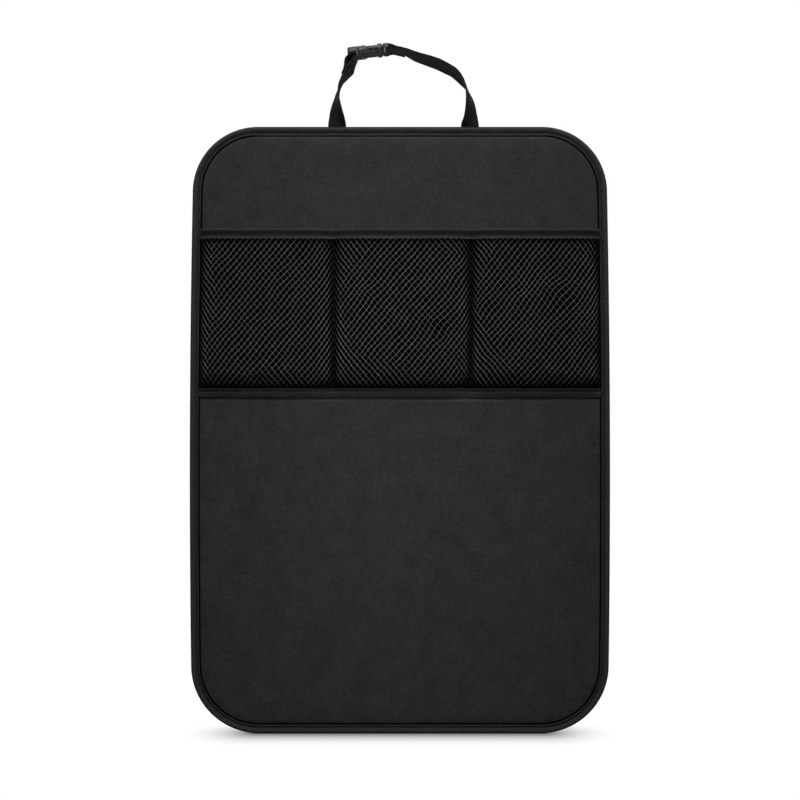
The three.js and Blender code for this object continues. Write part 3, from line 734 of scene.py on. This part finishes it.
def addBinding():
    places, outward, along, total = rim(binding["step"])
    section = np.array(bindingSection)
    count, size = len(places), len(section)
    onTop = outward[:, 1] > 0.999
    slot = np.zeros(count)
    for x in strapsAt:
        gap = np.abs(places[:, 0] - x) - binding["strapSlot"]
        slot = np.maximum(slot, np.where(onTop, 1 - smooth(gap / binding["slotEase"]), 0))
    slot = slot[:, None]
    # the tape puckers a little between stitches and wanders a little along its length
    angle = along / total * 2 * math.pi
    wander = sum(np.sin(angle * k + p) / len(bindingWaves) for k, p in bindingWaves)
    extra = binding["topExtra"] * onTop[:, None]
    middle = places - outward * (binding["stitchInset"] + extra)
    gaps = np.linalg.norm(np.roll(middle, -1, 0) - middle, axis=1)
    sewn = np.concatenate([[0], np.cumsum(gaps)[:-1]])
    pulled = 0.5 + 0.5 * np.cos(2 * math.pi * sewn * int(gaps.sum() / stitch["pitch"]) / gaps.sum())
    inset = section[None, :, 0] + slot * section[None, :, 2]
    y = np.repeat(section[None, :, 1], count, 0) + slot * section[None, :, 3]
    inward = section[None, :, 0]
    outer = (inward > binding["outermost"]) & (inward < binding["innermost"])
    front = (section[None, :, 1] < binding["frontLevel"]) & outer
    atStitch = np.exp(-((inward - binding["stitchInset"]) / binding["pullReach"]) ** 2)
    pull = binding["pullElsewhere"] + (1 - binding["pullElsewhere"]) * atStitch
    y = y - front * (binding["wander"] * wander[:, None] - binding["pull"] * pulled[:, None] * pull)
    inset = inset + (inward > binding["innermost"]) * binding["edgeWander"] * wander[::-1][:, None]
    inset = inset + (inward > binding["extraFrom"]) * extra
    x = places[:, :1] - outward[:, :1] * inset
    z = places[:, 1:] - outward[:, 1:] * inset
    points = np.stack([x, y, z], 2).reshape(-1, 3)
    across = np.concatenate([[0], np.cumsum(np.hypot(*np.diff(section[:, :2], axis=0).T))])
    uv = np.stack([np.repeat(along[:, None], size, 1), np.repeat(across[None, :], count, 0)], 2)
    faces = tubeFaces(count, size, closed=True)
    piece = makeObject("edgeBinding", points, faces, materials["binding"], uv.reshape(-1, 2))
    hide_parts("edge_binding")
    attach(piece, "mat")

    rows = []
    for y, facing in zip(binding["stitchY"], (-1, 1)):
        path = np.stack([middle[:, 0], np.full(count, y), middle[:, 1]], 1)
        rows.append(stitchBodies(path, np.tile([0, facing, 0], (count, 1)), closed=True))
    addStitches("bindingStitches", rows, materials["rimStitch"])


addBinding()
print("edge binding made")


# net pockets

net = {
    "top": 221, "bottom": 38.0, "seamLeft": -73.7, "seamRight": 79, "seamHalf": 1.3, "sideInset": 11.6,
    "columns": (24, 24, 23), "rows": 23, "crowd": 0.080, "crowdPower": 7, "lowCrowd": 0.012,
    "depth": 15, "mouthDepth": 9, "belly": 19, "foot": 47.5, "slackFrom": 50, "slackOver": 165,
    "proud": 0.8, "hemRiseFrom": 203, "hemRiseOver": 9, "sidePower": 9, "calmPower": 8, "calmFoot": 8,
    "calmTop": 6, "lowPower": 6, "pull": 0.8, "sides": 6, "overRadius": 0.39, "underRadius": 0.34,
    "apart": 0.42, "knot": 1.18, "thread": 0.94, "flatness": 0.8,
}
# the net's own waves sideways, up and outwards: height, size and seed
netRipplesX = [(0.9, 60, 11), (0.3, 17, 21)]
netRipplesZ = [(0.9, 55, 31), (0.3, 19, 41)]
netRipplesY = [(0.5, 70, 51)]
# which threads lie in front: the usual lead of the rising ones, how it varies, and its loss at a left seam
lead = {"usual": 1.3, "ripples": [(1.7, 130, 71)], "lossAtSeam": 3.2, "seamReach": 0.13}
seam = {"low": 47.5, "high": 214, "step": 1.5, "proud": 1.3, "pitch": 3.0, "length": 2.5, "width": 0.9}
# where the net is pulled out of line: x, z, reach, and how far it is pulled along x and z
netPulls = [
    (-102, 198, 13, 2.2, -1.2), (-205, 178, 14, -1.6, 2.4), (-211, 158, 9, 2.0, 1.4),
    (-60, 176, 11, 1.6, 1.8), (-33, 152, 12, -2.2, 1.6), (-8, 118, 13, 1.5, 2.6),
    (-5, 102, 9, -2.4, -1.0), (41, 118, 12, -2.6, 2.0), (45, 104, 9, 2.0, -2.2),
    (52, 196, 13, 2.0, 1.6), (62, 172, 11, -2.0, 2.0), (93, 196, 14, 1.6, 1.8),
    (91, 135, 10, -1.8, 1.8), (134, 164, 12, 2.2, -1.6), (172, 154, 14, -2.4, 1.8),
    (192, 146, 10, 1.8, -1.8), (-135, 78, 13, 1.8, 1.6), (205, 92, 12, -1.8, 1.4),
    (-150, 128, 10, 1.4, -1.4), (96, 72, 12, 1.4, 1.8),
]


def pocketEdges(index, z):
    half = halfWidth(z) - net["sideInset"]
    low = [-half, net["seamLeft"] + net["seamHalf"], net["seamRight"] + net["seamHalf"]][index]
    high = [net["seamLeft"] - net["seamHalf"], net["seamRight"] - net["seamHalf"], half][index]
    return low + 0 * z, high + 0 * z


def netBase(z):
    # the net lies just before the cloth, and a little further out where the hem holds it
    raised = levels["faceRim"] + (levels["faceMiddle"] - levels["faceRim"]) * valley(z)
    return raised - net["proud"] - smooth((z - net["hemRiseFrom"]) / net["hemRiseOver"])


def standOff(across, z):
    # across runs from -1 at a pocket's left seam to 1 at its right one
    side = 1 - np.abs(across) ** net["sidePower"]
    belly = 1 - (1 - np.clip((z - net["foot"]) / net["belly"], 0, 1)) ** 2
    slack = np.clip((z - net["slackFrom"]) / net["slackOver"], 0, 1) ** 2
    return side * belly * (net["depth"] + (net["mouthDepth"] - net["depth"]) * slack)


def netPoint(index, u, v):
    # u and v run from 0 to 1 across and up one pocket's net
    s = 2 * u - 1
    crowded = s * (1 + net["crowd"]) - net["crowd"] * np.sign(s) * np.abs(s) ** net["crowdPower"]
    low = (1 - v) ** net["lowPower"]
    z = net["bottom"] + (net["top"] - net["bottom"]) * (v + net["lowCrowd"] * (low - 1 + v))
    left, right = pocketEdges(index, z)
    x = left + (right - left) * (crowded + 1) / 2
    # the net is held at its seams, foot and top, and free inside
    inside = (1 - np.abs(s) ** net["calmPower"]) * np.clip(v * net["calmFoot"], 0, 1)
    inside = inside * np.clip((1 - v) * net["calmTop"], 0, 1)
    pulledX, pulledZ = 0, 0
    for px, pz, reach, dx, dz in netPulls:
        share = net["pull"] * np.exp(-((x - px) ** 2 + (z - pz) ** 2) / reach ** 2)
        pulledX, pulledZ = pulledX + dx * share, pulledZ + dz * share
    shiftX = ripples(x, z, netRipplesX, index) + pulledX
    shiftZ = ripples(x, z, netRipplesZ, index) + pulledZ
    y = netBase(z) - standOff(crowded, z) - inside * ripples(x, z, netRipplesY, index)
    return np.stack([x + inside * shiftX, y, z + inside * shiftZ], -1)


def risingOver(u, x, z):
    # in most places the rising threads lie in front, and at a pocket's left seam the falling ones: -1 to 1
    loss = lead["lossAtSeam"] * np.exp(-(u / lead["seamReach"]) ** 2)
    return np.clip(lead["usual"] + ripples(x, z, lead["ripples"]) - loss, -1, 1)


def netThreads(index, rising):
    columns, rows = 2 * net["columns"][index], 2 * net["rows"]
    for start in range(-rows if rising else 0, columns + (0 if rising else rows) + 1, 2):
        pairs = [((start + j) if rising else (start - j), j) for j in range(rows + 1)]
        pairs = [(i, j) for i, j in pairs if 0 <= i <= columns]
        if len(pairs) < 2:
            continue
        first, last = pairs[0], pairs[-1]
        steps = 2 * (len(pairs) - 1)
        share = np.linspace(0, 1, steps + 1)
        u = (first[0] + (last[0] - first[0]) * share) / columns
        v = (first[1] + (last[1] - first[1]) * share) / rows
        path = netPoint(index, u, v)
        over = risingOver(u, path[:, 0], path[:, 2]) * (1 if rising else -1)
        path[:, 1] -= over * net["apart"] / 2
        radius = net["underRadius"] + (net["overRadius"] - net["underRadius"]) * (over + 1) / 2
        knot = np.where(np.arange(steps + 1) % 2 == 0, net["knot"], net["thread"])
        yield path, radius * knot, over > 0


def addNet():
    sides = net["sides"]
    angles = np.arange(sides) * 2 * math.pi / sides
    points, faces, kinds, total = [], [], [], 0
    for index in range(3):
        for rising in (True, False):
            for path, radius, over in netThreads(index, rising):
                ahead = np.gradient(path, axis=0)
                ahead /= np.linalg.norm(ahead, axis=1)[:, None]
                side = np.cross(ahead, [0, -1, 0])
                side /= np.linalg.norm(side, axis=1)[:, None]
                out = np.cross(side, ahead)
                ring = (path[:, None] + radius[:, None, None] * (
                    side[:, None] * np.cos(angles)[None, :, None]
                    + out[:, None] * np.sin(angles)[None, :, None] * net["flatness"]))
                points.append(ring.reshape(-1, 3))
                faces += tubeFaces(len(path), sides, total, caps=False)
                # threads in front take the painted lit colour, those behind the painted shaded one
                kinds += np.repeat(np.where(over[1:], 0, 1), sides).tolist()
                total += len(path) * sides
    piece = makeObject("pocketNet", np.concatenate(points), faces,
                       [materials["netLitThreads"], materials["netShadedThreads"]], faceMaterial=kinds)
    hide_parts("pocket_net")
    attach(piece, "mat")
    rows = []
    for x in (net["seamLeft"], net["seamRight"]):
        z = np.arange(seam["low"], seam["high"], seam["step"])
        path = np.stack([np.full(len(z), x), np.full(len(z), levels["faceMiddle"] - seam["proud"]), z], 1)
        rows.append(stitchBodies(path, np.tile([0, -1, 0], (len(z), 1)), pitch=seam["pitch"],
                                 length=seam["length"], width=seam["width"]))
    addStitches("pocketSeamStitches", rows, materials["stitch"])
    print("net triangles:", 2 * len(faces))


addNet()
print("net pockets made")


# hem and tape of the pockets

hem = {"bottom": 212.7, "inset": 10.4, "step": 2.5, "stitchZ": 216.5, "stitchProud": 1.34}
# the hem's section: y from the net's middle, and height from the hem's lower edge
hemSection = [
    (-0.75, 0.2), (-1.50, -0.05), (-2.35, -0.05), (-2.60, 0.2), (-2.35, 0.8), (-1.95, 1.5), (-1.60, 2.3),
    (-1.38, 3.2), (-1.28, 4.1), (-1.42, 4.9), (-1.78, 6.2), (-2.22, 7.6), (-2.58, 8.7), (-2.62, 9.3),
    (-2.40, 10.0), (-1.90, 10.7), (-1.20, 11.2), (-0.40, 11.4), (0.4, 11.2), (1.0, 10.6), (1.35, 9.4),
    (1.4, 6.5), (1.2, 4.1), (1.4, 1.6), (1.25, 0.0), (0.75, 0.2), (0.7, 9.5), (-0.7, 9.5),
]
tape = {"bottom": 35.9, "inset": 10.4, "step": 2.5, "proud": 1.0, "stitchZ": (43.5, 38.9),
        "stitchProud": (0.05, 1.05)}
# the tape's section: y from the net below it, and height from the tape's lower edge
tapeSection = [
    (0.3, 0.7), (-0.6, 0.55), (-1.15, 0.55), (-1.38, 0.85), (-1.35, 1.35), (-1.18, 2.0), (-1.00, 2.8),
    (-1.12, 3.8), (-1.30, 4.7), (-1.22, 5.3), (-0.85, 6.1), (-0.35, 6.9), (0.0, 7.4), (0.05, 8.1),
    (-0.35, 8.6), (-1.10, 8.9), (-1.35, 9.2), (-1.20, 9.8), (-0.85, 10.3), (-0.40, 10.5), (0.3, 10.4),
    (0.45, 5.5),
]


# how both wander up and down along their length (height, size and seed), and its share in their depth
acrossRipples = [(0.10, 45, 61), (0.05, 13, 62)]
wanderDepth = 0.05


def crossStations(shape):
    edge = float(halfWidth(shape["bottom"])) - shape["inset"]
    count = int(2 * edge / shape["step"])
    return np.linspace(-edge, edge, count + 1)


def pocketShare(x, z):
    # where x lies in its own pocket, from -1 to 1, and 1 on the seams
    share = np.ones_like(x)
    for index in range(3):
        left, right = pocketEdges(index, np.full_like(x, z))
        inside = (x > left) & (x < right)
        share = np.where(inside, 2 * (x - left) / (right - left) - 1, share)
    return share


def acrossPiece(name, xs, base, section, lower, material):
    section = np.array(section)
    size = len(section)
    wander = ripples(xs, 0 * xs, acrossRipples)
    y = base[:, None] + section[None, :, 0] * (1 + wanderDepth * wander[:, None])
    z = lower + section[None, :, 1] + wander[:, None]
    x = np.repeat(xs[:, None], size, 1)
    points = np.stack([x, y, z], 2).reshape(-1, 3)
    around = np.concatenate([[0], np.cumsum(np.hypot(*np.diff(section, axis=0).T))])
    uv = np.stack([x, np.repeat(around[None, :], len(xs), 0)], 2).reshape(-1, 2)
    piece = makeObject(name, points, tubeFaces(len(xs), size), material, uv)
    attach(piece, "mat")
    return piece


def stitchRow(xs, y, z):
    path = np.stack([xs, y, np.full_like(xs, z)], 1)
    return stitchBodies(path, np.tile([0, -1, 0], (len(xs), 1)))


def addHemAndTape():
    xs = crossStations(hem)
    z = hem["bottom"]
    base = netBase(z) - standOff(pocketShare(xs, z), np.full_like(xs, z))
    piece = acrossPiece("pocketHem", xs, base, hemSection, hem["bottom"], materials["hem"])
    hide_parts("pocket_hem")
    rows = [stitchRow(xs, base - hem["stitchProud"], hem["stitchZ"])]

    xs = crossStations(tape)
    puff = levels["faceRim"] + (levels["faceMiddle"] - levels["faceRim"]) * levels["valleyLevel"]
    base = np.full_like(xs, puff - tape["proud"])
    lowered = acrossPiece("pocketTape", xs, base, tapeSection, tape["bottom"], materials["tape"])
    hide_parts("pocket_tape")
    for z, proud in zip(tape["stitchZ"], tape["stitchProud"]):
        rows.append(stitchRow(xs, base - proud, z))
    addStitches("pocketStitches", rows, materials["stitch"])


addHemAndTape()
print("hem and tape made")


# the strap's webbing

strap = {"width": 20, "thickness": 1.5, "level": -4.2, "sewn": 9.5, "leftX": -70.2, "rightX": 78.3,
         "spanSteps": 30, "ribPitch": 1.05, "ribDepth": 0.07, "curlRise": 42, "curlReach": 13,
         "leftCurl": 2.4, "rightCurl": 1.5, "curlLevel": 0.35, "flatShare": 0.84, "stagger": 0.25,
         "edgeShare": 0.9, "edgeWave": 0.06, "edgePitch": 2.1, "layerGap": 0.6}
buckle = {
    "mouth": (-19.3, -3.0, topZ + 85.8), "slope": 7, "roll": 75, "ladderBar": -32.6, "plugBar": 6.2,
    "barSide": 2.55, "barFace": 2.3, "fold": 18,
}
along = np.array([math.cos(math.radians(buckle["slope"])), 0, math.sin(math.radians(buckle["slope"]))])
across = np.array([0, -math.sin(math.radians(buckle["roll"])), math.cos(math.radians(buckle["roll"]))])
across = across - along * (across @ along)
across /= np.linalg.norm(across)
through = np.cross(along, across)
mouth = np.array(buckle["mouth"])


def strapPoint(x, y, rise, turn, outward):
    # a place of the free strap, how far it has turned from lying flat, and which way leads outwards
    turned, facing = math.radians(turn), math.radians(outward)
    width = np.array([math.cos(facing), 0, math.sin(facing)]) * -math.cos(turned)
    width[1] = -math.sin(turned)
    return np.array([x, strap["level"] + y, topZ + rise]), width


def buckled(a, n):
    return mouth + along * a + through * n, across.copy()


aroundBar = [(1, 0.62), (1, -0.62), (0.7, -1), (0, -1), (-0.7, -0.98), (-1, -0.64),
             (-1, 0.64), (-0.7, 0.98), (0, 1), (0.7, 1)]


def wrapBar(middle, first, last):
    return [buckled(middle + a * buckle["barSide"], n * buckle["barFace"]) for a, n in aroundBar[first:last]]


def leftPoints():
    x, bar = strap["leftX"], buckle["ladderBar"]
    return [
        strapPoint(x, 0, -strap["sewn"], 0, 180), strapPoint(x, 0, 1.5, 0, 180),
        strapPoint(x - 0.2, -1.2, 9, 27, 179), strapPoint(x - 0.4, -3.2, 19, 49, 178),
        strapPoint(x + 0.6, -5.2, 30, 71, 172), strapPoint(-66.8, -6.6, 42.5, 90, 155),
        strapPoint(-61.2, -7.4, 53.5, 106, 150), strapPoint(-54.9, -6.4, 63.3, 116, 146),
        buckled(bar + 0.6, 9.3), buckled(bar + 3.0, 4.2), *wrapBar(bar, 0, 7),
        buckled(bar - 4.6, 3.4), buckled(bar - 8.6, 7.5),
        strapPoint(-59.5, -5.4, 63, 110, 148), strapPoint(-63.2, -6.4, 55.5, 104, 150),
    ]


def rightPoints():
    x, bar = strap["rightX"], buckle["plugBar"]
    doubled = [buckled(bar + buckle["fold"], 5.1), buckled(bar + 9, 1.4), buckled(bar + 5, -1)]
    layer = strap["thickness"] + strap["layerGap"]
    return [
        strapPoint(x, 0, -strap["sewn"], 0, 0), strapPoint(x, 0, 1.5, 0, 0),
        strapPoint(x + 0.4, -0.9, 7.5, 30, 0), strapPoint(x + 0.5, -2.4, 14, 46, 0),
        strapPoint(x, -5, 24.6, 59, 4), strapPoint(76.2, -7.2, 35.8, 76, 12),
        strapPoint(73.2, -8.2, 43.5, 91, 24), strapPoint(69.7, -8.6, 49.0, 102, 34),
        strapPoint(65.2, -8.4, 54.6, 110, 42), strapPoint(59.7, -8, 59.7, 114, 52),
        strapPoint(52.3, -7.2, 63.9, 117, 62), strapPoint(43.4, -6.2, 68.5, 119, 69),
        strapPoint(34.2, -5.2, 72.1, 118, 73), strapPoint(17.9, -3.2, 77.8, 112, 73),
        *doubled, *wrapBar(bar, 2, 10), buckled(bar + 5, 2.2),
        *[(at + through * layer, width) for at, width in doubled[:2][::-1]],
    ]


def curveThrough(places, steps):
    # a centripetal curve through the places, and its directions
    places = [np.asarray(p, float) for p in places]
    full = [2 * places[0] - places[1], *places, 2 * places[-1] - places[-2]]
    out, ahead = [], []
    for k in range(len(places) - 1):
        p0, p1, p2, p3 = full[k:k + 4]
        d0, d1, d2 = [max(np.linalg.norm(b - a), 1e-6) ** 0.5 for a, b in ((p0, p1), (p1, p2), (p2, p3))]
        t1 = ((p1 - p0) / d0 - (p2 - p0) / (d0 + d1) + (p2 - p1) / d1) * d1
        t2 = ((p2 - p1) / d1 - (p3 - p1) / (d1 + d2) + (p3 - p2) / d2) * d1
        c2, c3 = -3 * p1 + 3 * p2 - 2 * t1 - t2, 2 * p1 - 2 * p2 + t1 + t2
        last = k == len(places) - 2
        for t in np.linspace(0, 1, steps + 1)[:None if last else -1]:
            out.append(p1 + t1 * t + c2 * t * t + c3 * t ** 3)
            ahead.append(t1 + 2 * c2 * t + 3 * c3 * t * t)
    ahead = np.array(ahead)
    return np.array(out), ahead / np.linalg.norm(ahead, axis=1)[:, None]


def webbingFrames(points):
    places, ahead = curveThrough([at for at, _ in points], strap["spanSteps"])
    widths = np.array([width for _, width in points])
    share = np.linspace(0, len(points) - 1, len(places))
    width = np.stack([np.interp(share, np.arange(len(points)), widths[:, k]) for k in range(3)], 1)
    width -= ahead * (width * ahead).sum(1)[:, None]
    width /= np.linalg.norm(width, axis=1)[:, None]
    normal = np.cross(ahead, width)
    length = np.concatenate([[0], np.cumsum(np.linalg.norm(np.diff(places, axis=0), axis=1))])
    # even steps along the length, short enough to shape the ribs
    even = np.arange(0, length[-1], strap["ribPitch"] / 4)
    evened = [np.stack([np.interp(even, length, values[:, k]) for k in range(3)], 1)
              for values in (places, width, normal)]
    return *evened, even


# half the webbing's section: share of the half width, share of the half thickness
halfSection = [(1.0, 0.0), (0.985, 0.55), (0.95, 0.9), (0.88, 0.98), (0.80, 0.9), (0.6, 0.93),
               (0.3, 0.93), (0.0, 0.93)]


def webbing(name, points, node, curl):
    # curl: how deep the section is cupped where the strap is seen edge on
    places, width, normal, length = webbingFrames(points)
    top = halfSection + [(-w, n) for w, n in halfSection[-2::-1]]
    section = np.array(top + [(w, -n) for w, n in top[-2:0:-1]])
    flat = (np.abs(section[:, 0]) < strap["flatShare"]) * np.sign(section[:, 1])
    odd = np.where(np.arange(len(section)) % 2 == 0, 1.0, -1.0)
    rib = strap["ribDepth"] * np.sin(2 * math.pi * length / strap["ribPitch"])[:, None]
    rib = rib * flat[None, :] * (1 + strap["stagger"] * odd[None, :])
    n = section[None, :, 1] * strap["thickness"] / 2 + rib
    w = section[None, :, 0] * strap["width"] / 2
    edge = ((np.abs(section[:, 0]) > strap["edgeShare"]) * np.sign(section[:, 0]))[None, :]
    w = w + edge * strap["edgeWave"] * np.sin(2 * math.pi * length / strap["edgePitch"])[:, None]
    cupped = curl * np.exp(-((places[:, 2] - topZ - strap["curlRise"]) / strap["curlReach"]) ** 2)
    n = n + cupped[:, None] * (strap["curlLevel"] - section[None, :, 0] ** 2)
    ring = places[:, None] + width[:, None] * w[:, :, None] + normal[:, None] * n[:, :, None]
    size = len(section)
    uv = np.stack([np.repeat(length[:, None], size, 1), w], 2).reshape(-1, 2)
    piece = makeObject(name, ring.reshape(-1, 3), tubeFaces(len(places), size), materials["webbing"], uv)
    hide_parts(node)
    return piece


leftStrap = webbing("leftStrap", leftPoints(), "strap_left", strap["leftCurl"])
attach(leftStrap, "mat")
rightStrap = webbing("rightStrap", rightPoints(), "strap_right", strap["rightCurl"])
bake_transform(rightStrap)
print("webbing made")


# the buckle

ribs = {"low": -27.3, "high": -6.4, "across": 8.3, "width": 1.5, "height": 0.55, "face": 2.8,
        "endLength": 0.5, "endHeight": 0.3}
# a rib's section: share of its half width and of its height
ribSection = [(-1, -0.3), (-0.93, 0.45), (-0.6, 0.9), (0, 1), (0.6, 0.9), (0.93, 0.45), (1, -0.3)]


def addRibs():
    # two stiffening ribs along each face of the socket
    points, faces = [], []
    low, high, end = ribs["low"], ribs["high"], ribs["endLength"]
    ends = [(low, ribs["endHeight"]), (low + end, 1.0), (high - end, 1.0), (high, ribs["endHeight"])]
    for face in (1, -1):
        for side in (1, -1):
            start = len(points)
            for a, grown in ends:
                for w, n in ribSection[::face * side]:
                    points.append(mouth + along * a
                                  + across * side * (ribs["across"] + w * ribs["width"] / 2)
                                  + through * face * (ribs["face"] + n * grown * ribs["height"]))
            faces += tubeFaces(len(ends), len(ribSection), start)
    piece = makeObject("socketRibs", points, faces, materials["plastic"])
    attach(piece, "mat")


for name in ("buckle_socket", "buckle_plug"):
    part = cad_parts[name]
    part.data.materials.clear()
    part.data.materials.append(materials["plastic"])
addRibs()
print("buckle finished")
